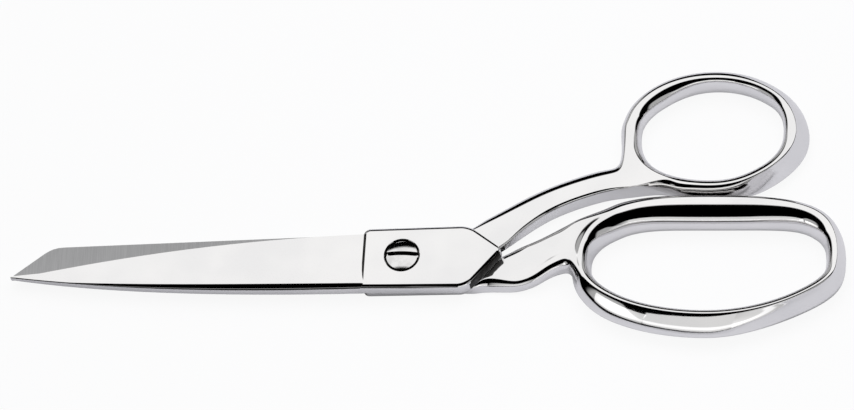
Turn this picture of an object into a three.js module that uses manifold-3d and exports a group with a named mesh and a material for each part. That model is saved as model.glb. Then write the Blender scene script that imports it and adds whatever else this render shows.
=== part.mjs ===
// Dressmaker's shears: two drop-forged halves crossed on a slotted pivot screw.
// Each half is one forging: a ground blade, a flat pivot plate, a shank and a finger loop, called a bow.
// Millimetres, +Z up, blades along -X, shown closed and lying flat. The origin is on the pivot axis, in the
// plane that the shears lie on. Both halves are drawn about the shear plane, z = 0, where their inner faces
// meet, and are then lifted. A blade and its plate are drawn with the cutting edge to +Y and the outer face
// up, as on the thumb half, and the finger half's are turned half a turn about X. Shanks and bows are drawn
// as they lie, with the thumb bow to +Y of the finger bow.
import * as THREE from "three";
import { mergeVertices } from "three/addons/utils/BufferGeometryUtils.js";
import Module from "manifold-3d";

// Driving dimensions: the crossed halves
const HALF_THICKNESS = 3.7; // each half at the pivot
const SHEAR_GAP = 0.2; // running gap between the two inner faces
const PLATE_FRONT = 9.35; // pivot axis to the shoulder where a blade begins
const PLATE_ROUND = 0.9; // rounding of the plate's rims
const RIM_ROOM = 1.5; // rim roundings added to each plan corner, so that a rim doesn't fold over
const SHOULDER_ROUND = 0.5; // plan corner of the plate's flat at the shoulder, inside the rounded rim
const PLATE_END_ROUND = 2.2; // and where the plate turns into its slanted end
const NOSE_ROUND = 0.3; // and at the furthest corner of that end
const THUMB_SPINE_SIDE = 8.85; // pivot axis to the thumb plate's side under the spine
const THUMB_EDGE_SIDE = 7.3; // pivot axis to the thumb plate's other side, at the shoulder
const THUMB_PLATE_LENGTH = 16.6; // pivot axis to the slanted end, at the sides
const THUMB_PLATE_NOSE = { x: 25.3, y: 2.1 }; // furthest corner of the slanted end
const THUMB_PLATE_FLARE = 1; // the thumb plate widens by this much along its edge side
const FINGER_SPINE_SIDE = 7.5;
const FINGER_EDGE_SIDE = 8.15;
const FINGER_PLATE_LENGTH = 14.5;
const FINGER_PLATE_NOSE = { x: 24.2, y: -0.9 };
const FINGER_PLATE_TOE = { x: 19.5, y: 7.2 }; // where the finger plate's slanted end meets its edge side

// Driving dimensions: the blades
const BLADE_REACH = 98.8; // pivot axis to the tips
const TIP_OFFSET = 4.85; // the closed tips lie this far to the finger side of the pivot axis
const TIP_WIDTH = 0.6;
const THUMB_HEEL = 7.9; // pivot axis to the cutting edge at the heel
const FINGER_HEEL = 8.65;
const THUMB_EDGE_BULGE = 4.2; // how far the curve of the edge is pulled out from a straight line
const THUMB_SPINE_BULGE = 3.8;
const THUMB_SPINE_BELLY = 0.63; // share of the way to the tip where the spine's curve is pulled out
const FINGER_EDGE_BULGE = 1.2;
const FINGER_SPINE_TAPER = 3.6; // the finger half's spine comes in by this much up to its clipped tip
const TIP_CLIP = 10; // length of the slanted end of the finger half's broad tip
const TIP_CLIP_ROUND = 2.6;
const EDGE_SHOULDER = 0.9; // height of the sharpening bevel
const FACE_RISE = 0.17; // the outer face rises by this share of the blade's width, from there to the spine
const BEVEL_RUN = 0.6; // width of the sharpening bevel seen in plan
const HOLLOW = 0.2; // hollow grinding of the inner face
const HOLLOW_SPAN = [0.35, 0.7]; // where it is deepest, as shares of the width from the spine
const SPINE_ROUND = 1.6; // rounding of the spine
const FACE_CROWN = 1.15; // 1 is a flat outer face, more is fuller towards the spine
const HEEL_RUN = 2.2; // length over which the heel dies into the plate
const HEEL_DROP = 0.15; // and how far under the plate's face it ends

// Driving dimensions: the bows, measured along the ridge that runs round their upper side
// Squareness is 2 for an ellipse, given for each quarter of the ring, from the far end by the thumb side.
const FINGER_BOW = { length: 64.2, width: 31.7, depth: 10.6, squareness: [3, 3, 2.05, 1.9] };
const THUMB_BOW = { length: 40.6, width: 30, depth: 7.6, squareness: [2.1, 2.1, 2.3, 1.75] };
const FINGER_BOW_CENTRE = { x: 77.1, y: -1.6 };
const THUMB_BOW_X = 75.6;
const STOP_GAP = 0.5; // left between the bows when the blades are closed

// How far a bow's section swells from its ridge, inwards and outwards, and how square each side is, at every
// eighth of a turn from the far end by the thumb side.
const FINGER_SECTION = {
  inner: { swell: [2.9, 4.2, 5.8, 4.4, 2.4, 2.2, 2.2, 2.5], squareness: [2, 2, 2, 2, 2.1, 2.1, 2.1, 2] },
  outer: { swell: [2.2, 1.9, 1.7, 2.4, 2.4, 4.2, 4.2, 2.8], squareness: [2, 2, 2, 2, 2, 1.6, 1.5, 1.7] },
};
const THUMB_SECTION = {
  inner: { swell: [2.2, 1.4, 1.5, 3, 2.7, 2.4, 2.4, 2.4], squareness: [2, 2, 2.2, 2, 2, 2, 2, 2] },
  outer: { swell: [4.4, 2.6, 2.2, 2.1, 2.4, 2.4, 2.3, 3.9], squareness: [1.7, 2, 2, 2, 2, 2, 2, 1.7] },
};
const THUMB_SIDE = 2; // place of the bar nearer the thumb in these lists
const FAR_SIDE = 6; // place of the bar further from the thumb

// Driving dimensions: the shanks
const SHANK_ROUND = 1.4; // rounding of a shank's long edges
const MOST_ROUND = 0.45; // the rounding stays under this share of the shank's width and depth
const SHANK_LAP = 4; // how far the finger shank reaches into its plate
const THUMB_STEP = 0.35; // the thumb shank lies this much below its plate
const THUMB_UPPER_BULGE = 3.2; // how far the curve of each side is pulled out from a straight line
const THUMB_LOWER_BULGE = 8.6;
const THUMB_LOWER_BELLY = 0.43; // share of the way to the bow where the lower side is pulled out
const THUMB_DEEPENING = 1.3; // 1 deepens evenly towards the bow, more deepens later
const THUMB_ROOT_DEPTH = 0.6; // depth of the shank where it ends inside the bow, as a share of the bow's
const THUMB_CROTCH = { back: 2.1, down: 9.2, round: 2.4 }; // from the bow's near end to the inner corner
const FINGER_UPPER_BULGE = -0.3;
const FINGER_RISE_FROM = 0.2; // share of the way to the bow that the finger shank stays level with its plate
const FINGER_DEEPENING = 1.25;
const FINGER_ROOT_TOP = 0.9; // level of the shank's top inside the bow, as a share of the bow's half depth
const FINGER_ROOT_FOOT = 0.35; // and of its foot
const FINGER_KNEE = { x: 31, y: -7.4, round: 3.5 }; // where the finger shank's lower side turns up
const FINGER_CROTCH = { back: 3.3, up: -0.2, round: 2.5 };
// Where a shank's sides end in the bow: degrees round the bow from its far end, and the share of the way
// from the bow's ridge to its outer side.
const THUMB_ROOT = { upper: { angle: 185, share: 0.8 }, lower: { angle: 234, share: 1 } };
const FINGER_ROOT = { upper: { angle: 146, share: 0.9 }, lower: { angle: 190, share: 0.9 } };

// Driving dimensions: the pivot screw
const SCREW_SHANK_RADIUS = 2.6;
const SCREW_THREAD_RADIUS = 2.2;
const SCREW_HEAD_RADIUS = 3.95;
const SCREW_HEAD_RIM = 1.1; // straight side of the head
const SCREW_CROWN = 0.7; // height of the domed top over its rim
const SLOT_WIDTH = 1.1;
const SLOT_DEPTH = 1.3;
const SLOT_ANGLE = 4; // degrees from the X axis
const RUNNING_CLEARANCE = 0.1; // round the screw's shank, and round its thread
const HEAD_CLEARANCE = 0.45; // round the head in its counterbore
const SEAT_CLEARANCE = 0.2; // under the head
const SEAT_DEPTH = 1.8; // counterbore in the thumb half's plate

// Fineness of the curved surfaces
const BOW_STEPS = 60;
const SECTION_STEPS = 18;
const BLADE_STEPS = 22;
const SHANK_STEPS = 14;
const FACE_STEPS = [0, 0.3, 0.6, 0.85, 1]; // across a blade's outer face, from the edge to the spine
const CORNER_STEPS = 3;
const PLATE_CORNER_STEPS = 5;
const RIM_STEPS = 2;
const ROUND_STEPS = 40;
const CROWN_STEPS = 5;

const SHEAR_HEIGHT = HALF_THICKNESS + SHEAR_GAP / 2;
const BOW_RISE = FINGER_BOW.depth / 2 - SHEAR_HEIGHT; // the bows' middle over the shear plane
const { degToRad, lerp, smoothstep } = THREE.MathUtils;
const plan = (x, y) => new THREE.Vector2(x, y);
const point = (x, y, z) => new THREE.Vector3(x, y, z);

const wasm = await Module();
wasm.setup();

// A closed three.js geometry as a solid that can be joined and cut.
function solidOf(geometry) {
  const bare = new THREE.BufferGeometry();
  bare.setAttribute("position", geometry.getAttribute("position"));
  if (geometry.index) bare.setIndex(geometry.index);
  const merged = mergeVertices(bare, 1e-4);
  const vertProperties = merged.attributes.position.array;
  const triVerts = new Uint32Array(merged.index.array);
  return new wasm.Manifold(new wasm.Mesh({ numProp: 3, vertProperties, triVerts }));
}

// A joined and cut solid as a three.js geometry.
function geometryOf(solid) {
  const mesh = solid.getMesh();
  const geometry = new THREE.BufferGeometry();
  geometry.setAttribute("position", new THREE.BufferAttribute(mesh.vertProperties, 3));
  geometry.setIndex(new THREE.BufferAttribute(mesh.triVerts, 1));
  geometry.computeVertexNormals();
  return geometry;
}

// A skin over rings of equally many points. An open loft is capped at its first and last ring.
function loft(rings, closed = false) {
  const count = rings[0].length;
  const vertices = rings.flat();
  const index = [];
  const at = (ring, i) => (ring % rings.length) * count + (i % count);
  const spans = closed ? rings.length : rings.length - 1;
  for (let ring = 0; ring < spans; ring++)
    for (let i = 0; i < count; i++) {
      const [a, b, c, d] = [at(ring, i), at(ring, i + 1), at(ring + 1, i + 1), at(ring + 1, i)];
      index.push(a, b, c, a, c, d);
    }
  const cap = (ring, first) => {
    const sum = rings[ring].reduce((total, p) => total.add(p), point(0, 0, 0));
    const hub = vertices.push(sum.divideScalar(count)) - 1;
    for (let i = 0; i < count; i++)
      index.push(hub, at(ring, first ? i + 1 : i), at(ring, first ? i : i + 1));
  };
  if (!closed) {
    cap(0, true);
    cap(rings.length - 1, false);
  }
  const geometry = new THREE.BufferGeometry().setFromPoints(vertices).setIndex(index);
  const solid = solidOf(geometry);
  return solid.volume() > 0 ? solid : solidOf(geometry.setIndex(index.reverse()));
}

// A side in plan from one point to another, pulled out sideways at a share of its length.
function bowed(from, to, bulge, share = 0.5) {
  const side = plan(from.y - to.y, to.x - from.x).normalize().multiplyScalar(bulge);
  return new THREE.QuadraticBezierCurve(from, from.clone().lerp(to, share).add(side), to);
}

// A straight-sided path in plan with rounded corners, as a curve or as a closed outline.
function cornered(corners, closed) {
  const path = closed ? new THREE.Shape() : new THREE.Path();
  corners.forEach(({ at, round }, i) => {
    const before = corners[(i + corners.length - 1) % corners.length].at;
    const after = corners[(i + 1) % corners.length].at;
    const toward = (other) => at.clone().add(other.clone().sub(at).setLength(round));
    const end = !closed && (i === 0 || i === corners.length - 1);
    const start = end || !round ? at : toward(before);
    if (i === 0) path.moveTo(start.x, start.y);
    else path.lineTo(start.x, start.y);
    if (end || !round) return;
    const finish = toward(after);
    path.quadraticCurveTo(at.x, at.y, finish.x, finish.y);
  });
  if (closed) path.closePath();
  return path;
}

const corner = (x, y, round = 0) => ({ at: plan(x, y), round });

// One rung of a blade, from spine to edge: crowned outer face, sharpening bevel, hollow inner face.
function bladeRing(edge, spine) {
  const width = edge.distanceTo(spine);
  const spineTop = Math.min(HALF_THICKNESS, EDGE_SHOULDER + FACE_RISE * width);
  const bevel = Math.min(BEVEL_RUN, width / 4);
  const round = Math.min(SPINE_ROUND, width / 4, spineTop / 2);
  const hollow = Math.min(HOLLOW, width / 20);
  const section = [[width, 0]];
  for (const s of FACE_STEPS) {
    const rise = (spineTop - EDGE_SHOULDER) * (1 - (1 - s) ** FACE_CROWN);
    section.push([lerp(width - bevel, round, s), EDGE_SHOULDER + rise]);
  }
  const halfTurn = round * (1 - Math.SQRT1_2);
  section.push([halfTurn, spineTop - halfTurn], [0, spineTop - round], [0, 0]);
  for (const s of HOLLOW_SPAN) section.push([s * width, hollow]);
  const across = edge.clone().sub(spine).normalize();
  return section.map(([u, z]) => point(spine.x + across.x * u, spine.y + across.y * u, z));
}

// Rungs from heel to tip, and one more inside the plate, where the heel dies away.
function bladeRings(edge, spine, plateSide) {
  const rings = [];
  for (let i = 0; i <= BLADE_STEPS; i++) {
    const share = i / BLADE_STEPS;
    rings.push(bladeRing(edge.getPointAt(share), spine.getPointAt(share)));
  }
  const inside = rings[0].map(({ x, y, z }) =>
    point(x + HEEL_RUN, Math.min(y, plateSide - HEEL_RUN), Math.min(z, HALF_THICKNESS - HEEL_DROP)),
  );
  return [inside, ...rings];
}

// Turns a blade's rung or a plate over for the finger half, and sets it off from the shear plane.
const forThumbHalf = ({ x, y, z }) => point(x, y, z + SHEAR_GAP / 2);
const forFingerHalf = ({ x, y, z }) => point(x, -y, -z - SHEAR_GAP / 2);

// The pivot plate: a flat slab with rounded rims.
function plate(corners, placed) {
  const room = RIM_ROOM * PLATE_ROUND;
  const outline = corners.map(({ at, round }) => ({ at, round: round && round + room }));
  const slab = new THREE.ExtrudeGeometry(cornered(outline, true), {
    depth: HALF_THICKNESS - 2 * PLATE_ROUND,
    bevelThickness: PLATE_ROUND,
    bevelSize: PLATE_ROUND,
    bevelOffset: -PLATE_ROUND,
    bevelSegments: RIM_STEPS,
    curveSegments: PLATE_CORNER_STEPS,
  });
  const positions = slab.translate(0, 0, PLATE_ROUND).getAttribute("position");
  for (let i = 0; i < positions.count; i++) {
    const { x, y, z } = placed(point(positions.getX(i), positions.getY(i), positions.getZ(i)));
    positions.setXYZ(i, x, y, z);
  }
  return solidOf(slab);
}

// A shank: rungs between its two sides, as rounded bars from a lower to an upper level.
function shank(upper, lower, levels) {
  const rings = [];
  for (let i = 0; i <= SHANK_STEPS; i++) {
    const share = i / SHANK_STEPS;
    const from = lower.getPointAt(share);
    const across = upper.getPointAt(share).sub(from);
    const width = across.length();
    const { bottom, top } = levels(share);
    const round = Math.min(SHANK_ROUND, MOST_ROUND * width, MOST_ROUND * (top - bottom));
    const centres = [
      [width - round, top - round],
      [round, top - round],
      [round, bottom + round],
      [width - round, bottom + round],
    ];
    const ring = [];
    centres.forEach(([u, z], quarter) => {
      for (let step = 0; step <= CORNER_STEPS; step++) {
        const turn = (Math.PI / 2) * (quarter + step / CORNER_STEPS);
        const along = (u + round * Math.cos(turn)) / width;
        ring.push(point(from.x + across.x * along, from.y + across.y * along, z + round * Math.sin(turn)));
      }
    });
    rings.push(ring);
  }
  return loft(rings);
}

// A bow: a ring whose ridge follows a squared ellipse and whose section swells from place to place.
class Bow {
  constructor(centre, size, section) {
    Object.assign(this, { centre, size, section });
  }

  ridge(angle) {
    const squareness = this.size.squareness[Math.floor(angle / (Math.PI / 2)) % 4];
    const squared = (value) => Math.sign(value) * Math.abs(value) ** (2 / squareness);
    const along = (this.size.length / 2) * squared(Math.cos(angle));
    const across = (this.size.width / 2) * squared(Math.sin(angle));
    return plan(this.centre.x + along, this.centre.y + across);
  }

  outward(angle) {
    const step = 0.03;
    const whole = angle + 2 * Math.PI;
    const run = this.ridge(whole + step).sub(this.ridge(whole - step));
    return plan(run.y, -run.x).normalize();
  }

  // The plan point where one side of a shank ends.
  root({ angle, share }) {
    const turn = degToRad(angle);
    const swell = this.eased(this.section.outer.swell, turn);
    return this.ridge(turn).addScaledVector(this.outward(turn), share * swell);
  }

  // A value given at the eight places round the bow, eased between them.
  eased(values, angle) {
    const turn = (values.length * angle) / (2 * Math.PI);
    const from = Math.floor(turn);
    const at = (place) => values[place % values.length];
    return lerp(at(from), at(from + 1), smoothstep(turn - from, 0, 1));
  }

  ring(angle) {
    const ridge = this.ridge(angle);
    const out = this.outward(angle);
    const points = [];
    for (let i = 0; i < SECTION_STEPS; i++) {
      const turn = (2 * Math.PI * i) / SECTION_STEPS;
      const side = Math.cos(turn) > 0 ? this.section.outer : this.section.inner;
      const power = 2 / this.eased(side.squareness, angle);
      const squared = (value) => Math.sign(value) * Math.abs(value) ** power;
      const u = this.eased(side.swell, angle) * squared(Math.cos(turn));
      const z = (this.size.depth / 2) * squared(Math.sin(turn));
      points.push(point(ridge.x + out.x * u, ridge.y + out.y * u, BOW_RISE + z));
    }
    return points;
  }

  solid() {
    const rings = [];
    for (let i = 0; i < BOW_STEPS; i++) rings.push(this.ring((2 * Math.PI * i) / BOW_STEPS));
    return loft(rings, true);
  }
}

const fingerBow = new Bow(FINGER_BOW_CENTRE, FINGER_BOW, FINGER_SECTION);
const stopLine = FINGER_BOW_CENTRE.y + FINGER_BOW.width / 2 + FINGER_SECTION.outer.swell[THUMB_SIDE];
const thumbBowY = stopLine + STOP_GAP + THUMB_SECTION.outer.swell[FAR_SIDE] + THUMB_BOW.width / 2;
const thumbBow = new Bow({ x: THUMB_BOW_X, y: thumbBowY }, THUMB_BOW, THUMB_SECTION);

// A turned piece about the pivot axis, from its profile of radius and height.
function turned(profile) {
  const points = profile.map(([radius, height]) => plan(radius, height));
  return new THREE.LatheGeometry(points, ROUND_STEPS).rotateX(Math.PI / 2);
}

// A plain round hole about the pivot axis, between two heights over the shear plane.
function bore(radius, from, to) {
  return solidOf(turned([[0, from], [radius, from], [radius, to], [0, to]]));
}

// Thumb half: pointed blade, pivot plate with a slanted end, shank and thumb bow
function thumbHalf() {
  const tip = plan(-BLADE_REACH, -TIP_OFFSET);
  const edge = bowed(plan(-PLATE_FRONT, THUMB_HEEL), plan(tip.x, tip.y + TIP_WIDTH / 2), -THUMB_EDGE_BULGE);
  const spineTip = plan(tip.x, tip.y - TIP_WIDTH / 2);
  const spineHeel = plan(-PLATE_FRONT, -THUMB_SPINE_SIDE);
  const spine = bowed(spineHeel, spineTip, THUMB_SPINE_BULGE, THUMB_SPINE_BELLY);
  const rungs = bladeRings(edge, spine, THUMB_EDGE_SIDE);
  const blade = loft(rungs.map((ring) => ring.map(forThumbHalf)));

  const flared = THUMB_EDGE_SIDE + THUMB_PLATE_FLARE;
  const slab = plate([
    corner(-PLATE_FRONT, -THUMB_SPINE_SIDE),
    corner(THUMB_PLATE_LENGTH, -THUMB_SPINE_SIDE, PLATE_END_ROUND),
    corner(THUMB_PLATE_NOSE.x, THUMB_PLATE_NOSE.y, NOSE_ROUND),
    corner(THUMB_PLATE_LENGTH, flared, PLATE_END_ROUND),
    corner(-PLATE_FRONT, THUMB_EDGE_SIDE, SHOULDER_ROUND),
  ], forThumbHalf);

  const nearEnd = thumbBow.ridge(Math.PI);
  const crotch = plan(nearEnd.x - THUMB_CROTCH.back, nearEnd.y - THUMB_CROTCH.down);
  const upper = new THREE.CurvePath();
  const fillet = plan(crotch.x - THUMB_CROTCH.round, crotch.y - THUMB_CROTCH.round / 2);
  upper.add(bowed(plan(THUMB_PLATE_LENGTH, flared - PLATE_ROUND), fillet, THUMB_UPPER_BULGE));
  upper.add(new THREE.QuadraticBezierCurve(fillet, crotch, thumbBow.root(THUMB_ROOT.upper)));
  const nose = plan(THUMB_PLATE_NOSE.x - PLATE_ROUND, THUMB_PLATE_NOSE.y - PLATE_ROUND);
  const lower = bowed(nose, thumbBow.root(THUMB_ROOT.lower), THUMB_LOWER_BULGE, THUMB_LOWER_BELLY);
  const foot = BOW_RISE - (THUMB_ROOT_DEPTH * THUMB_BOW.depth) / 2;
  const arm = shank(upper, lower, (share) => ({
    bottom: lerp(SHEAR_GAP / 2, foot, share ** THUMB_DEEPENING),
    top: lerp(SHEAR_HEIGHT - THUMB_STEP, BOW_RISE + THUMB_BOW.depth / 2, share),
  }));

  const seat = SHEAR_HEIGHT - SEAT_DEPTH;
  return blade.add(slab).add(arm).add(thumbBow.solid())
    .subtract(bore(SCREW_SHANK_RADIUS + RUNNING_CLEARANCE, -SHEAR_HEIGHT, SHEAR_HEIGHT))
    .subtract(bore(SCREW_HEAD_RADIUS + HEAD_CLEARANCE, seat, SHEAR_HEIGHT + SEAT_DEPTH));
}

// Finger half: broad blade with a clipped tip, pivot plate, shank and finger bow
function fingerHalf() {
  const tip = plan(-BLADE_REACH, TIP_OFFSET);
  const edge = bowed(plan(-PLATE_FRONT, FINGER_HEEL), tip, -FINGER_EDGE_BULGE);
  const spine = cornered([
    corner(-PLATE_FRONT, -FINGER_SPINE_SIDE),
    corner(TIP_CLIP - BLADE_REACH, FINGER_SPINE_TAPER - FINGER_SPINE_SIDE, TIP_CLIP_ROUND),
    corner(tip.x, tip.y - TIP_WIDTH),
  ], false);
  const rungs = bladeRings(edge, spine, FINGER_EDGE_SIDE);
  const blade = loft(rungs.map((ring) => ring.map(forFingerHalf)));

  const slab = plate([
    corner(-PLATE_FRONT, -FINGER_SPINE_SIDE),
    corner(FINGER_PLATE_LENGTH, -FINGER_SPINE_SIDE, PLATE_END_ROUND),
    corner(FINGER_PLATE_NOSE.x, FINGER_PLATE_NOSE.y, NOSE_ROUND),
    corner(FINGER_PLATE_TOE.x, FINGER_PLATE_TOE.y, PLATE_END_ROUND),
    corner(-PLATE_FRONT, FINGER_EDGE_SIDE, SHOULDER_ROUND),
  ], forFingerHalf);

  const nearEnd = fingerBow.ridge(Math.PI);
  const nose = plan(FINGER_PLATE_NOSE.x, -FINGER_PLATE_NOSE.y);
  const start = plan(nose.x - SHANK_LAP, nose.y);
  const upper = bowed(start, fingerBow.root(FINGER_ROOT.upper), FINGER_UPPER_BULGE);
  const lowerEnd = fingerBow.root(FINGER_ROOT.lower);
  const lower = cornered([
    corner(FINGER_PLATE_TOE.x - SHANK_LAP, PLATE_ROUND - FINGER_PLATE_TOE.y),
    corner(FINGER_KNEE.x, FINGER_KNEE.y, FINGER_KNEE.round),
    corner(nearEnd.x - FINGER_CROTCH.back, nearEnd.y + FINGER_CROTCH.up, FINGER_CROTCH.round),
    corner(lowerEnd.x, lowerEnd.y),
  ], false);
  const foot = BOW_RISE - (FINGER_ROOT_FOOT * FINGER_BOW.depth) / 2;
  const head = BOW_RISE + (FINGER_ROOT_TOP * FINGER_BOW.depth) / 2;
  const arm = shank(upper, lower, (share) => {
    const way = Math.max(0, share - FINGER_RISE_FROM) / (1 - FINGER_RISE_FROM);
    const risen = way ** FINGER_DEEPENING;
    return { bottom: lerp(-SHEAR_HEIGHT, foot, risen), top: lerp(-SHEAR_GAP / 2, head, risen) };
  });

  return blade.add(slab).add(arm).add(fingerBow.solid())
    .subtract(bore(SCREW_THREAD_RADIUS + RUNNING_CLEARANCE, -2 * SHEAR_HEIGHT, SHEAR_HEIGHT));
}

// Pivot screw: threaded into the finger half, its end flush with that half's outer face
function pivotScrew() {
  const end = -SHEAR_HEIGHT;
  const underHead = SHEAR_HEIGHT - SEAT_DEPTH + SEAT_CLEARANCE;
  const rim = underHead + SCREW_HEAD_RIM;
  const profile = [
    [0, end],
    [SCREW_THREAD_RADIUS, end],
    [SCREW_THREAD_RADIUS, 0],
    [SCREW_SHANK_RADIUS, 0],
    [SCREW_SHANK_RADIUS, underHead],
    [SCREW_HEAD_RADIUS, underHead],
  ];
  for (let i = 0; i <= CROWN_STEPS; i++) {
    const turn = (Math.PI / 2) * (i / CROWN_STEPS);
    profile.push([SCREW_HEAD_RADIUS * Math.cos(turn), rim + SCREW_CROWN * Math.sin(turn)]);
  }
  const crown = rim + SCREW_CROWN;
  const slot = new THREE.BoxGeometry(3 * SCREW_HEAD_RADIUS, SLOT_WIDTH, 2 * SLOT_DEPTH);
  slot.rotateZ(degToRad(SLOT_ANGLE)).translate(0, 0, crown);
  return solidOf(turned(profile)).subtract(solidOf(slot));
}

const polished = { color: 0xe6e5e4, metalness: 1, roughness: 0.12 };
const bright = { color: 0xd9d8d6, metalness: 1, roughness: 0.2 };

const shears = new THREE.Group();
for (const [name, solid, finish] of [
  ["finger_half", fingerHalf(), polished],
  ["thumb_half", thumbHalf(), polished],
  ["pivot_screw", pivotScrew(), bright],
]) {
  const mesh = new THREE.Mesh(geometryOf(solid), new THREE.MeshStandardMaterial(finish));
  mesh.name = name;
  mesh.position.z = SHEAR_HEIGHT;
  shears.add(mesh);
}

export default shears;
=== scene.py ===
from math import copysign, cos, pi, radians, sin

import bmesh
import bpy
from mathutils import Matrix, Vector


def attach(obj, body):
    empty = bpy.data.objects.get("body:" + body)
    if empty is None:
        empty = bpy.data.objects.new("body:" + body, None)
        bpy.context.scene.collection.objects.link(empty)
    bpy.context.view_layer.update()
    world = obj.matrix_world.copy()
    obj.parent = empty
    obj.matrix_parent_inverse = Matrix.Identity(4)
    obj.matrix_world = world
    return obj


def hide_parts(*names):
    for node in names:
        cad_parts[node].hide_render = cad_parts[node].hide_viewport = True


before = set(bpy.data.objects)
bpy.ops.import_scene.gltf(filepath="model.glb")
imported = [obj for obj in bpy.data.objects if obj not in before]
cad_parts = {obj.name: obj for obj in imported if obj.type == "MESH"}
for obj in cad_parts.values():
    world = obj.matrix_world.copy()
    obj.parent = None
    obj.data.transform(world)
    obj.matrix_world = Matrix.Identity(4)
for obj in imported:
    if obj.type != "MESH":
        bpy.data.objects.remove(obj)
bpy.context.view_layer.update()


# Finger half: the lower half, one drop forging of carbon steel with a broad blade, a flat pivot
# plate, a cranked shank and the long bow for three fingers. It is ground, polished all over and
# bright plated, and its inner face is ground across afterwards. Sizes are in millimetres.
SHEAR = 3.8  # height of the plane in which the two halves slide on each other
RUNNING_GAP = 0.1  # each inner face stands this far off that plane
THICKNESS = 3.7  # each half at the pivot
BOW_MIDDLE = 5.3  # height of the middle of both bows
HEEL = -10.1  # where the blades begin
REACH = 98.8  # from the pivot to the tips
FALL = 0.15  # how far a blade's outer face falls per millimetre, from the spine to the edge
LAND = 1.2  # height at which that face would meet the edge
BLADE_STEPS = 72  # along a blade
SIDES = 72  # of a turned piece
SMOOTH = radians(32)  # faces that meet at a smaller angle are shaded as one


def mm(x, y, z):
    return Vector((x, y, z)) / 1000


def spot(point):
    """A point as a key, to a tenth of a micrometre."""
    return tuple(round(value, 7) for value in point)


def first_rung(name, points):
    """A ring of edges, as the start of a forged bar, open for editing."""
    bpy.ops.object.select_all(action="DESELECT")
    bpy.ops.mesh.primitive_circle_add(vertices=len(points))
    bar = bpy.context.object
    bar.name = bar.data.name = name
    for vertex, point in zip(bar.data.vertices, points):
        vertex.co = point
    bpy.ops.object.mode_set(mode="EDIT")
    bpy.ops.mesh.select_all(action="SELECT")
    return bar


def next_rung(last, points):
    """Extrudes the selected ring, whose points are last, and sets the new ring's points."""
    bpy.ops.mesh.extrude_edges_indiv()
    target = {spot(old): new for old, new in zip(last, points)}
    cage = bmesh.from_edit_mesh(bpy.context.object.data)
    for vertex in cage.verts:
        if vertex.select:
            vertex.co = target[spot(vertex.co)]
    bmesh.update_edit_mesh(bpy.context.object.data)
    return points


def drawn_bar(name, rungs):
    """A bar drawn out rung by rung, with open ends, and open for editing."""
    bar = first_rung(name, rungs[0])
    for last, points in zip(rungs, rungs[1:]):
        next_rung(last, points)
    return bar


def select_points(points):
    bpy.ops.mesh.select_all(action="DESELECT")
    wanted = {spot(point) for point in points}
    cage = bmesh.from_edit_mesh(bpy.context.object.data)
    for vertex in cage.verts:
        vertex.select = spot(vertex.co) in wanted
    cage.select_flush(True)


def select_level(level):
    bpy.ops.mesh.select_all(action="DESELECT")
    cage = bmesh.from_edit_mesh(bpy.context.object.data)
    for vertex in cage.verts:
        vertex.select = abs(vertex.co.z * 1000 - level) < 1e-3
    cage.select_flush(True)


def close_up(bar):
    """Caps open ends, turns all faces outwards and leaves edit mode."""
    bpy.ops.mesh.select_all(action="SELECT")
    bpy.ops.mesh.fill_holes(sides=0)
    bpy.ops.mesh.select_all(action="SELECT")
    bpy.ops.mesh.normals_make_consistent()
    if bmesh.from_edit_mesh(bar.data).calc_volume(signed=True) < 0:
        bpy.ops.mesh.flip_normals()
    bpy.ops.object.mode_set(mode="OBJECT")


def combined(bar, operation, others):
    """Joins other bars to a bar or cuts them out of it."""
    bpy.context.view_layer.objects.active = bar
    for other in others:
        step = bar.modifiers.new("step", "BOOLEAN")
        step.operation, step.object, step.solver = operation, other, "EXACT"
        bpy.ops.object.modifier_apply(modifier="step")
        bpy.data.objects.remove(other)
    return bar


def squared(value, squareness):
    """A sine or cosine for a rounded square: 2 keeps the circle, and more fills the corners."""
    return copysign(abs(value) ** (2 / squareness), value)


def eased(values, angle, start=0):
    """A value given at equal steps round a bow, from its far end by its +Y side, eased between
    them. The first stands start steps on."""
    step, share = divmod(angle / (2 * pi / len(values)) - start, 1)
    share *= share * (3 - 2 * share)
    before, after = (values[int(step + ahead) % len(values)] for ahead in (0, 1))
    return before * (1 - share) + after * share


def ridge(bow, angle):
    """A point in plan on the line that a bow's section follows."""
    squareness = eased(bow["squareness"], angle, 0.5)
    x = bow["length"] / 2 * squared(cos(angle), squareness)
    y = bow["width"] / 2 * squared(sin(angle), squareness)
    return Vector((bow["x"] + x, bow["y"] + y))


def bow_rung(bow, angle):
    """Sixteen points round a bow's section: 0 outermost, 4 on top, 8 innermost, 12 at the foot."""
    place, near = ridge(bow, angle), 0.03
    run = ridge(bow, angle + 2 * pi + near) - ridge(bow, angle + 2 * pi - near)
    out = Vector((run.y, -run.x)).normalized()
    points = []
    for step in range(16):
        turn = step * pi / 8
        outer = step < 5 or step > 11
        swell, squareness = bow["outer" if outer else "inner"]
        power = eased(squareness, angle)
        point = place + out * eased(swell, angle) * squared(cos(turn), power)
        waist = eased(bow["waist"], angle) if outer else 0
        rise = squared(sin(turn), power)
        height = BOW_MIDDLE + waist * (1 - abs(rise)) + bow["depth"] / 2 * rise
        points.append(mm(*point, height))
    return points


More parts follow.
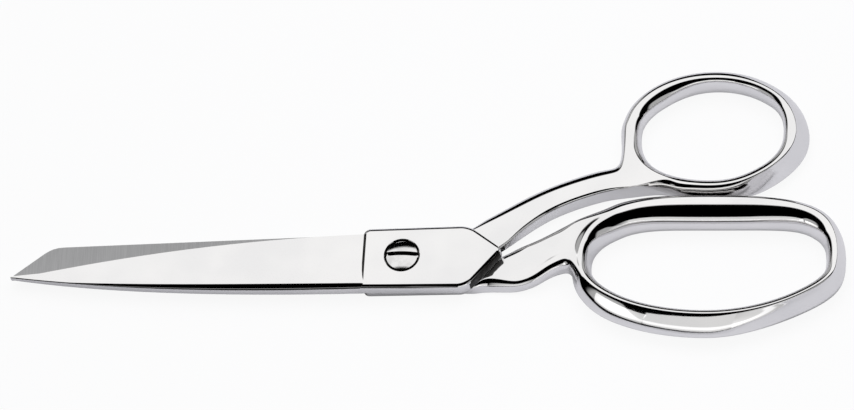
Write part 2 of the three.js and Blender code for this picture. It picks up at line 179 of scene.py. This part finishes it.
def shank_rung(spans, upper, lower, tops, foot, roundings, splay=0):
    """Points round a shank, from its upper side over its top, down its lower side and back under
    it. Its roundings are those of its two upper edges, and splay is how far the foot of its lower
    side stands out."""
    upper, lower = Vector(upper), Vector(lower)
    width = (lower - upper).length
    base = width + splay
    under = min(1.4, 0.4 + foot, 0.3 * (min(tops) - foot))  # rounding of the lower edges
    turns = (pi / 6, pi / 3, pi / 2)

    def side(top, rounding):
        points = [(rounding * (1 - sin(turn)), top - rounding * (1 - cos(turn))) for turn in turns]
        points.append((0, (top - rounding + foot + under) / 2))
        for turn in reversed(turns):
            points.append((under * (1 - sin(turn)), foot + under * (1 - cos(turn))))
        return points

    shares = [step / spans for step in range(spans + 1)]
    flat = width - sum(roundings)
    slope = tops[1] - tops[0]
    section = [(roundings[0] + flat * share, tops[0] + slope * share) for share in shares]
    for u, z in side(tops[1], roundings[1]):
        section.append((width - u + splay * (tops[1] - z) / (tops[1] - foot), z))
    section += [(base - under - (base - 2 * under) * share, foot) for share in shares]
    section += reversed(side(tops[0], roundings[0]))
    across = (lower - upper).normalized()
    return [mm(*(upper + across * u), z) for u, z in section]


def fit_skin(bar):
    """Draws a cage out until its smoothed skin passes through the points set, and smooths it."""
    wanted = [vertex.co.copy() for vertex in bar.data.vertices]
    skin = bar.modifiers.new("skin", "SUBSURF")
    skin.levels = skin.render_levels = 1
    for _ in range(10):
        shape = bar.evaluated_get(bpy.context.evaluated_depsgraph_get()).data
        for vertex, smooth, point in zip(bar.data.vertices, shape.vertices, wanted):
            vertex.co += point - smooth.co
        bar.data.update()
        bar.data.update_tag()
    skin.levels = skin.render_levels = 3
    bpy.ops.object.modifier_apply(modifier="skin")
    bpy.ops.object.mode_set(mode="EDIT")
    close_up(bar)


def forged_bow(name, bow, stations, root, rungs):
    """A bow with its shank: rungs round the bow, a mouth opened in its outer side between the two
    stations of its root, and the shank's rungs from there."""
    rings = [bow_rung(bow, 2 * pi * station / stations) for station in range(stations)]
    bar = drawn_bar(name, rings)
    select_points(rings[0] + rings[-1])
    bpy.ops.mesh.bridge_edge_loops()
    first, end = root
    outer = [4, 3, 2, 1, 0, 15, 14, 13, 12]
    select_points([rings[station][step] for station in range(first, end + 1) for step in outer])
    bpy.ops.mesh.delete(type="FACE")
    mouth = [rings[station][4] for station in range(first, end + 1)]
    mouth += [rings[end][step] for step in outer[1:-1]]
    mouth += [rings[station][12] for station in range(end, first - 1, -1)]
    mouth += [rings[first][step] for step in outer[-2:0:-1]]
    select_points(mouth)
    for rung in rungs:
        mouth = next_rung(mouth, shank_rung(end - first, *rung))
    bpy.ops.object.mode_set(mode="OBJECT")
    fit_skin(bar)
    return bar


def arc(start, pull, end, steps=16):
    """A path in plan from start to end, drawn towards a third point."""
    start, pull, end = Vector(start), Vector(pull), Vector(end)
    shares = [step / steps for step in range(steps + 1)]
    return [start.lerp(pull, share).lerp(pull.lerp(end, share), share) for share in shares]


def along(path, share):
    """The point at a share of the length of a path in plan."""
    steps = [(end - start).length for start, end in zip(path, path[1:])]
    rest = min(share, 0.999999) * sum(steps)
    for start, end, step in zip(path, path[1:], steps):
        if rest <= step:
            break
        rest -= step
    return start.lerp(end, min(rest / step, 1))


def blade_rung(edge, spine, share):
    """Points round a blade's section: their places in plan and heights over the inner face. The
    spine's rounding changes with the share of the blade's length."""
    width = (edge - spine).length
    top = min(THICKNESS, LAND + FALL * width)
    bevel = min(1.1, width / 3)
    rounding = min(max(0.3, 1.5 + 2.03 * share - 4.2 * share**2), width / 3, 0.7 * top)
    hollow = min(0.2, width / 40)
    section = [(width, 0)]
    for step in range(11):
        run = (width - bevel - rounding) * (1 - step / 10)
        section.append((rounding + run, top - FALL * run))
    for step in range(1, 7):
        turn = step * pi / 12
        section.append((rounding * (1 - sin(turn)), top - rounding * (1 - cos(turn))))
    section.append((0, 0))
    section += [(width * step / 8, hollow * sin(pi * step / 8)) for step in range(1, 8)]
    across = (edge - spine).normalized()
    return [(*(spine + across * u), z) for u, z in section]


def forged_blade(name, edge, spine, side):
    """A blade, from inside its plate to the tip, with the cutting edge to side times +Y."""
    shares = [step / BLADE_STEPS for step in range(BLADE_STEPS + 1)]
    rungs = [blade_rung(along(edge, share), along(spine, share), share) for share in shares]
    # the root in the plate: each rung's distance from the heel and depth under the plate's skin
    for run, sink in ((0.5, 0.01), (2.2, 0.05), (6, 0.6)):
        far_side = edge[0].y - 0.4 - 3.6 * min(run / 2.2, 1)
        near_side, roof = spine[0].y + sink, THICKNESS - sink
        rungs.insert(0, [
            (HEEL + run, max(min(y, far_side), near_side), max(min(z, roof), sink))
            for x, y, z in rungs[0]
        ])
    bar = drawn_bar(name, [
        [mm(x, side * y, SHEAR + side * (RUNNING_GAP + z)) for x, y, z in rung] for rung in rungs
    ])
    close_up(bar)
    return bar


def pivot_plate(name, corners, foot, top, rims):
    """A slab with rounded corners in plan and rounded rims, with a narrow flat inside each rim."""
    levels = (foot, top)
    bar = drawn_bar(name, [[mm(x, y, level) for x, y, rounding in corners] for level in levels])
    bpy.ops.mesh.select_all(action="SELECT")
    bpy.ops.mesh.fill_holes(sides=0)
    for x, y, rounding in corners:
        if rounding:
            select_points([mm(x, y, level) for level in levels])
            bpy.ops.mesh.bevel(offset=rounding / 1000, segments=8, affect="EDGES")
    for level, rim in zip(levels, rims):
        select_level(level)
        bpy.ops.mesh.bevel(offset=rim / 1000, segments=5, affect="EDGES")
        select_level(level)
        bpy.ops.mesh.inset(thickness=0.0002)
    close_up(bar)
    return bar


def round_rung(radius, height):
    turns = [2 * pi * step / SIDES for step in range(SIDES)]
    return [mm(radius * cos(turn), radius * sin(turn), height) for turn in turns]


def turned(name, rungs):
    """A bar turned about the pivot's axis."""
    bar = drawn_bar(name, rungs)
    close_up(bar)
    return bar


# A bow's values start at its far end and go round by its +Y side: the squareness of its four
# quarters in plan, and at every eighth of a turn the swell of its section to each side with that
# side's squareness, and how far over its middle it is widest outside.
FINGER_BOW = {
    "x": 77.1, "y": -1.6, "length": 64.2, "width": 31.7, "depth": 10.6,
    "squareness": (3.0, 2.55, 2.05, 1.9),
    "inner": ((2.9, 4.2, 5.8, 4.4, 2.4, 2.2, 2.2, 2.5), (2, 2, 2, 2, 2.1, 2.1, 2.1, 2)),
    "outer": ((1.9, 1.9, 1.7, 2.8, 2.4, 4.2, 4.2, 2.5), (1.5, 2, 2, 2, 1.8, 1.3, 1.25, 1.25)),
    "waist": (0, 2, 2.5, 2, 0, 0, 0, 0),
}
# each rung's upper and lower side in plan, its heights there, its foot, its roundings, its splay
finger_bow = forged_bow("finger_bow", FINGER_BOW, 39, (15, 21), [
    ((45.0, 9.9), (42.4, -3.9), (9.7, 9.7), 2.7, (1.6, 2.3)),
    ((41.2, 8.3), (40.0, -3.5), (8.75, 8.85), 2.9, (1.6, 2.5)),
    ((37.5, 6.85), (36.7, -4.65), (7.35, 7.5), 2.5, (1.5, 2.5)),
    ((33.5, 5.4), (33.4, -6.2), (5.95, 6.1), 1.6, (1.5, 2.2)),
    ((29.1, 4.1), (29.0, -6.6), (4.4, 4.3), 0.5, (1.4, 1.6), 0.5),
    ((25.6, 2.4), (24.6, -5.7), (3.8, 3.72), 0.35, (1.3, 1.3), 1.6),
    ((21.5, 0.4), (20.6, -5.5), (3.7, 3.62), 0.3, (1.2, 1.2), 1.8),
    ((18.0, -1.2), (17.6, -6.9), (3.6, 3.6), 0.3, (1.2, 0.9), 0.6),
    ((14.0, -1.5), (13.0, -7.0), (3.4, 3.4), 0.4, (1.2, 0.9), 0.4),
])
finger_edge = arc((HEEL, 8.65), (-53.9, 7.95), (-REACH, 4.85))
finger_spine = arc((-86.2, -4.0), (-88.8, -3.9), (-90.9, -2.2))
finger_spine = [Vector((HEEL, -7.5)), *finger_spine, Vector((-REACH, 4.25))]
finger_blade = forged_blade("finger_blade", finger_edge, finger_spine, -1)
finger_plate = pivot_plate("finger_plate", [
    (HEEL, 7.5, 0), (14.5, 7.5, 3.3), (22.8, 1.4, 1.8), (16.2, -7.6, 2.0), (HEEL, -8.15, 1.7),
], 0, THICKNESS, (1.0, 0.15))
finger_half = combined(finger_bow, "UNION", [finger_plate, finger_blade])
combined(finger_half, "DIFFERENCE", [turned("tapped_hole", [
    round_rung(radius, height)
    for radius, height in [(2.7, -1), (2.7, 0), (2.3, 0.4), (2.3, 3.4), (2.7, 3.8)]
])])


class Shade:
    """A shader value: arithmetic on it adds Math nodes to its tree."""

    def __init__(self, tree, socket=None):
        self.tree, self.socket = tree, socket

    def node(self, kind, settings={}, inputs={}, output=0):
        made = self.tree.nodes.new("ShaderNode" + kind)
        for name, value in settings.items():
            setattr(made, name, value)
        for name, value in inputs.items():
            if isinstance(value, Shade):
                self.tree.links.new(value.socket, made.inputs[name])
            else:
                made.inputs[name].default_value = value
        return Shade(self.tree, made.outputs[output]) if made.outputs else made

    def maths(self, operation, *others):
        return self.node("Math", {"operation": operation}, dict(enumerate((self, *others))))

    def __add__(self, other):
        return self.maths("ADD", other)

    def __mul__(self, other):
        return self.maths("MULTIPLY", other)

    def __sub__(self, other):
        return self.maths("SUBTRACT", other)

    def __rsub__(self, other):
        return self.node("Math", {"operation": "SUBTRACT"}, {0: other, 1: self})

    __radd__ = __add__
    __rmul__ = __mul__

    def ramp(self, low, high):
        """0 below low and 1 above high, eased between them."""
        settings = {"interpolation_type": "SMOOTHSTEP"}
        return self.node("MapRange", settings, {0: self, 1: low, 2: high})

    def band(self, rise, fall):
        """0 outside a band and 1 inside it, eased over its two edges."""
        return self.ramp(*rise) * (1 - self.ramp(*fall))

    def axes(self, names):
        return [self.node("SeparateXYZ", {}, {0: self}, output=name) for name in names]

    def scaled(self, *scale):
        return self.node("Mapping", {}, {"Vector": self, "Scale": scale})

    def noise(self, scale, detail):
        return self.node("TexNoise", {}, {"Vector": self, "Scale": scale, "Detail": detail})

    def tint(self, first, second):
        """From one colour at 0 to another at 1."""
        inputs = {0: self, 6: (*first, 1), 7: (*second, 1)}
        return self.node("Mix", {"data_type": "RGBA"}, inputs, output=2)

    def relief(self, strength, distance):
        return self.node("Bump", {}, {"Strength": strength, "Distance": distance, "Height": self})

    def finish(self, linked, plain):
        """Sets the tree's surface: values that vary, and plain ones."""
        shader = self.tree.nodes["Principled BSDF"]
        for name, value in linked.items():
            self.tree.links.new(value.socket, shader.inputs[name])
        for name, value in plain.items():
            shader.inputs[name].default_value = value


def new_material(name):
    """A material, and the place on the piece from which its values are worked out."""
    material = bpy.data.materials.new(name)
    material.use_nodes = True
    return material, Shade(material.node_tree).node("TexCoord", output="Object")


# bright plating, with the slow waves of hand polishing and fine wiping marks along the halves
plating, place = new_material("polished_plating")
waves = place.noise(70, 2)
wiped = place.scaled(200, 2400, 2400).noise(1, 3).ramp(0.5, 0.75)
place.finish({
    "Base Color": waves.ramp(0.3, 0.7).tint((0.85, 0.842, 0.838), (0.80, 0.794, 0.795)),
    "Roughness": waves * 0.03 + wiped * 0.035 + 0.035,
    "Normal": (waves + wiped * 0.004).relief(0.25, 1e-4),
}, {"Metallic": 1})

# bare steel, ground across the blade
ground, place = new_material("ground_steel")
lines = place.scaled(4500, 120, 120).noise(1, 4)
patches = place.noise(45, 3)
place.finish({
    "Base Color": lines.ramp(0.3, 0.7).tint((0.41, 0.41, 0.415), (0.36, 0.36, 0.365)),
    "Roughness": patches * 0.1 + 0.33,
    "Normal": lines.relief(0.2, 1e-5),
}, {"Metallic": 1})

# painted shade: near-black steel where shade falls, in the holes, slot, heel step and crotch
painted_shade, place = new_material("painted_shade_steel")
shade_mottle = place.noise(900, 3)
place.finish({
    "Base Color": shade_mottle.ramp(0.35, 0.7).tint((0.006, 0.0055, 0.005), (0.02, 0.018, 0.016)),
    "Roughness": shade_mottle * 0.2 + 0.3,
}, {"Metallic": 0.1, "Specular IOR Level": 0.2})


def finish_half(bar, body):
    """Names a forging, levels its underside, shades it and gives each face its finish: ground on
    the inner face, painted shade in the holes, on the step at the heel and in the crotch over the
    shear plane, and plated elsewhere."""
    bar.name = body + "_forging"
    bpy.ops.object.select_all(action="DESELECT")
    bar.select_set(True)
    bpy.context.view_layer.objects.active = bar
    for vertex in bar.data.vertices:
        vertex.co.z = max(vertex.co.z, 0)
    bpy.ops.object.shade_smooth_by_angle(angle=SMOOTH)
    for finish in (plating, ground, painted_shade):
        bar.data.materials.append(finish)
    for face in bar.data.polygons:
        x, y, z = face.center * 1000
        level = abs(face.normal.z)
        hole = Vector((x, y)).length < 4.45 and (level < 0.9 or 5 < z < 7)
        heel = abs(x - HEEL) < 1.4 and face.normal.x < -0.45
        crotch = 15.5 < x < 25.5 and z > SHEAR and face.normal.x > 0.6 and face.normal.y < -0.45
        # painted shade: these faces get the near-black steel, where shade falls
        if hole or heel or crotch:
            face.material_index = 2
        elif level > 0.98 and x < 16 and abs(z - SHEAR) < 0.4:
            face.material_index = 1
        if level > 0.99999 and face.area > 2e-6:
            face.use_smooth = False


finish_half(finger_half, "finger_half")
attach(finger_half, "finger_half")
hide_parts("finger_half")


# Thumb half: the upper half, forged, polished and plated like the lower one, with a narrower
# pointed blade, a plate counterbored for the screw's head, a shank that rises from the plate's
# corner, and the smaller oval bow for the thumb.
THUMB_BOW = {
    "x": 76.1, "y": 33.8, "length": 41.6, "width": 30, "depth": 7.6,
    "squareness": (2.1, 2.1, 2.3, 1.9),
    "inner": ((3.2, 2.1, 1.5, 3.0, 2.7, 2.4, 2.4, 2.5), (2.6, 2.3, 2.2, 2, 2, 2, 2, 2.2)),
    "outer": ((3.0, 2.7, 2.2, 2.1, 2.4, 2.4, 2.3, 2.3), (1.25, 1.4, 2, 2, 2, 2, 1.8, 1.25)),
    "waist": (-2.2, -1, 1.5, 1.2, 0, 0, -1, -2.2),
}
thumb_bow = forged_bow("thumb_bow", THUMB_BOW, 36, (18, 24), [
    ((53.4, 27.4), (59.3, 18.6), (9.0, 8.95), 1.9, (2.6, 0.6)),
    ((51.9, 24.5), (55.2, 17.95), (9.05, 9.0), 2.1, (2.9, 0.5)),
    ((48.5, 23.9), (50.9, 17.25), (8.85, 8.85), 2.2, (3.2, 0.8)),
    ((42.6, 22.2), (45.9, 15.95), (8.5, 8.5), 2.0, (3.2, 0.9)),
    ((36.0, 19.7), (40.3, 13.9), (8.15, 8.15), 1.85, (3.2, 0.9)),
    ((29.6, 16.6), (34.6, 10.85), (7.75, 7.75), 1.9, (3.2, 0.9)),
    ((24.0, 13.1), (29.5, 6.8), (7.45, 7.45), 2.4, (2.7, 0.8)),
    ((20.2, 10.6), (26.3, 3.7), (7.3, 7.3), 3.5, (2.2, 0.6)),
    ((17.0, 7.9), (22.8, 0.9), (7.2, 7.2), 4.0, (1.2, 0.8)),
    ((13.8, 6.0), (20.0, -1.0), (7.1, 7.1), 4.1, (1.0, 0.8)),
])
thumb_edge = arc((HEEL, 7.9), (-54.5, 5.75), (-REACH, -4.55))
thumb_spine = arc((HEEL, -8.85), (-65.8, -10.31), (-REACH, -5.15))
thumb_blade = forged_blade("thumb_blade", thumb_edge, thumb_spine, 1)
thumb_plate = pivot_plate("thumb_plate", [
    (HEEL, -8.85, 0), (16.6, -8.85, 2.4), (25.3, 2.1, 1.6), (16.4, 8.5, 2.2), (HEEL, 7.55, 1.8),
], SHEAR + RUNNING_GAP, SHEAR + RUNNING_GAP + THICKNESS, (0.15, 1.2))
thumb_half = combined(thumb_bow, "UNION", [thumb_plate, thumb_blade])
combined(thumb_half, "DIFFERENCE", [turned("seat", [
    round_rung(radius, height)
    for radius, height in [(2.7, 3), (2.7, 5.8), (4.4, 5.8), (4.4, 7.45), (4.6, 7.65)]
])])
finish_half(thumb_half, "thumb_half")
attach(thumb_half, "thumb_half")
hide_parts("thumb_half")


# Pivot screw: turned from steel bar, with a domed head and a sawn slot, let into a counterbore in
# the thumb half and screwed into the finger half, where its end is ground flush. The plain neck is
# the pivot.
HEAD_RADIUS = 3.95
CROWN = 8.15  # height of the dome's highest point
CROWN_FRONT = 0.6  # how far that point lies to the front
DOME_RADIUS = 11.8
THREAD_RADIUS = 2.2
THREAD_DEPTH = 0.3
PITCH = 0.8
SLOT_WIDTH = 1.15
SLOT_FLOOR = 6.5


def thread_rung(height):
    points = []
    for step in range(SIDES):
        depth = THREAD_DEPTH * abs(2 * ((height / PITCH - step / SIDES) % 1) - 1)
        radius, turn = THREAD_RADIUS - depth, 2 * pi * step / SIDES
        points.append(mm(radius * cos(turn), radius * sin(turn), height))
    return points


def dome_rung(radius):
    points = []
    for point in round_rung(radius, CROWN):
        from_crown = point.xy * 1000 + Vector((0, CROWN_FRONT))
        points.append(point - mm(0, 0, from_crown.length_squared / (2 * DOME_RADIUS)))
    return points


screw = turned("pivot_screw_turned", [
    round_rung(1.85, 0),
    *(thread_rung(0.2 + PITCH / 10 * level) for level in range(40)),
    *(round_rung(radius, height) for radius, height in [
        (1.9, 3.55), (1.9, 3.75), (2.5, 3.8), (2.6, 3.9), (2.6, 6.0), (HEAD_RADIUS - 0.2, 6.0),
        (HEAD_RADIUS, 6.2), (HEAD_RADIUS, 7.2),
    ]),
    *(dome_rung(radius) for radius in (3.92, 3.7, 3.3, 2.9, 2.4, 1.8, 1.2, 0.6, 0.2)),
])
bpy.ops.object.select_all(action="DESELECT")
bpy.ops.mesh.primitive_cube_add(
    size=1, location=mm(0, 0.3, SLOT_FLOOR + 2), scale=mm(10, SLOT_WIDTH, 4)
)
saw = bpy.context.object
bpy.ops.object.transform_apply(location=True, scale=True)
combined(screw, "DIFFERENCE", [saw])
screw.select_set(True)
bpy.ops.object.shade_smooth_by_angle(angle=SMOOTH)

# bright steel with turning grooves round its axis, and painted shade on the walls of the slot
steel, place = new_material("screw_steel")
from_axis = place.scaled(1, 1, 0)
from_axis = from_axis.node("VectorMath", {"operation": "LENGTH"}, {0: from_axis}, output=1)
stain = place.noise(500, 3)
place.finish({
    "Base Color": stain.ramp(0.35, 0.7).tint((0.80, 0.795, 0.79), (0.66, 0.655, 0.65)),
    "Roughness": stain * 0.06 + 0.04,
    "Normal": (from_axis * 42000).maths("SINE").relief(0.15, 3e-6),
}, {"Metallic": 1})
for finish in (steel, painted_shade):
    screw.data.materials.append(finish)
# painted shade on the walls of the slot
for face in screw.data.polygons:
    if abs(face.normal.y) > 0.999 and abs(face.center.y) < 0.001:
        face.material_index = 1
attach(screw, "pivot_screw")
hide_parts("pivot_screw")


# Table and studio: a white table top in a dark room. In the steel it shows as a painted glow,
# brighter towards the handles, with painted shade in front of the blades. A wide soft box hangs
# above and behind the work, grey panels stand low round it, and three small strips of light stand
# close in front of the handles.
bpy.ops.object.select_all(action="DESELECT")
bpy.ops.mesh.primitive_plane_add(size=1.2, location=(0, 0, -0.00005))
table = bpy.context.object
table.name = "table"
bpy.ops.object.transform_apply(location=True)
paper = bpy.data.materials.new("white_paper")
paper.use_nodes = True
paper.node_tree.nodes.clear()
start = Shade(paper.node_tree)
place = start.node("TexCoord", output="Object")
camera_ray, glossy_ray = (
    start.node("LightPath", output=name) for name in ("Is Camera Ray", "Is Glossy Ray")
)
east, north = place.axes("XY")
# painted shade: the steel sees the table dark in front of the blades
painted_dark = (1 - north.ramp(-0.026, -0.014)) * (1 - east.ramp(-0.002, 0.012))
# painted light: the table glows for the steel, brighter towards the handles
painted_glow = (east.ramp(-0.05, 0.06) * 0.4 + 0.32) * (1 - painted_dark)
white = start.node("Emission", {}, {"Color": (1, 1, 1, 1), "Strength": 1})
grey = start.node("BsdfDiffuse", {}, {"Color": (0.56, 0.56, 0.60, 1)})
painted_glow_shader = start.node("Emission", {}, {"Color": (0.97, 0.97, 1, 1), "Strength": painted_glow})
mirrored = start.node("MixShader", {}, {0: glossy_ray * (painted_dark * 0.7 + 0.3), 1: grey, 2: painted_glow_shader})
mixed = start.node("MixShader", {}, {0: camera_ray * 0.92, 1: mirrored, 2: white})
start.node("OutputMaterial", {}, {"Surface": mixed})
table.data.materials.append(paper)

world = bpy.data.worlds.new("studio")
bpy.context.scene.world = world
world.use_nodes = True
world.node_tree.nodes.clear()
start = Shade(world.node_tree)
across, away, height = start.node("TexCoord", output="Generated").axes("XYZ")
aside = across.maths("ABSOLUTE")
# 0 at the front horizon, 90 overhead, 180 at the back horizon
over = height.maths("ARCTAN2", away * -1) * (180 / pi)
box = over.band((88, 92), (139, 144)) * (1 - aside.ramp(0.8, 0.9))
# the panels are higher at the sides, and there are none straight behind
sides = aside.ramp(0.45, 0.6)
front = height.ramp(0.02, 0.06) * (1 - (height - sides * 0.38).ramp(0.12, 0.16))
front = front * (1 - away.ramp(-0.5, -0.38))
rear = height.band((0.02, 0.06), (0.36, 0.42)) * away.ramp(0.35, 0.5) * sides
camera_ray = start.node("LightPath", output="Is Camera Ray")
level = (box * 1.05 + (front + rear) * 0.45) * (1 - camera_ray) + camera_ray
light = start.node("Background", {}, {"Color": (1, 1, 1, 1), "Strength": level})
start.node("OutputWorld", {}, {"Surface": light})

lamp = bpy.data.objects.new("table_lamp", bpy.data.lights.new("table_lamp", "AREA"))
bpy.context.scene.collection.objects.link(lamp)
lamp.data.shape = "DISK"
lamp.data.size = 0.6
lamp.data.energy = 4
lamp.location = (0.1, 0.1, 0.6)
lamp.visible_glossy = False

# name, middle and the point that it faces in mm, width, height, strength, spread in degrees
for name, middle, faced, width, tall, strength, spread in [
    ("front_strip", (56, -105, 32), (56, 0, 32), 0.076, 0.05, 0.8, 180),
    ("end_strip", (136, -105, 32), (136, 0, 32), 0.084, 0.05, 0.22, 80),
    ("corner_strip", (14.6, -62.6, 21), (53.6, -15.6, 7), 0.0455, 0.03, 0.145, 70),
]:
    strip = bpy.data.objects.new(name, bpy.data.lights.new(name, "AREA"))
    bpy.context.scene.collection.objects.link(strip)
    strip.data.shape = "RECTANGLE"
    strip.data.size, strip.data.size_y = width, tall
    strip.data.energy = strength * pi * width * tall
    strip.data.spread = radians(spread)
    strip.location = mm(*middle)
    strip.rotation_euler = (mm(*middle) - mm(*faced)).to_track_quat("Z", "Y").to_euler()

bpy.context.scene.view_settings.view_transform = "Standard"


# Camera: a long lens from the front, well above the table, with the picture level along the blades.
LENS = 700
SENSOR = 36
VIEW_WIDTH = 0.21265  # what the picture spans at the aim, in metres
right = Vector((0.990, 0.063, -0.129)).normalized()
back = Vector((0.144, -0.437, 0.888)).normalized()
up = back.cross(right).normalized()
right = up.cross(back)
aim = mm(5.94, 12.415, 10.6)
camera = bpy.data.objects.new("camera", bpy.data.cameras.new("camera"))
bpy.context.scene.collection.objects.link(camera)
camera.data.lens = LENS
camera.data.sensor_width = SENSOR
camera.data.clip_end = 20
camera.rotation_euler = Matrix((right, up, back)).transposed().to_euler()
camera.location = aim + back * (LENS / SENSOR * VIEW_WIDTH)
bpy.context.scene.camera = camera
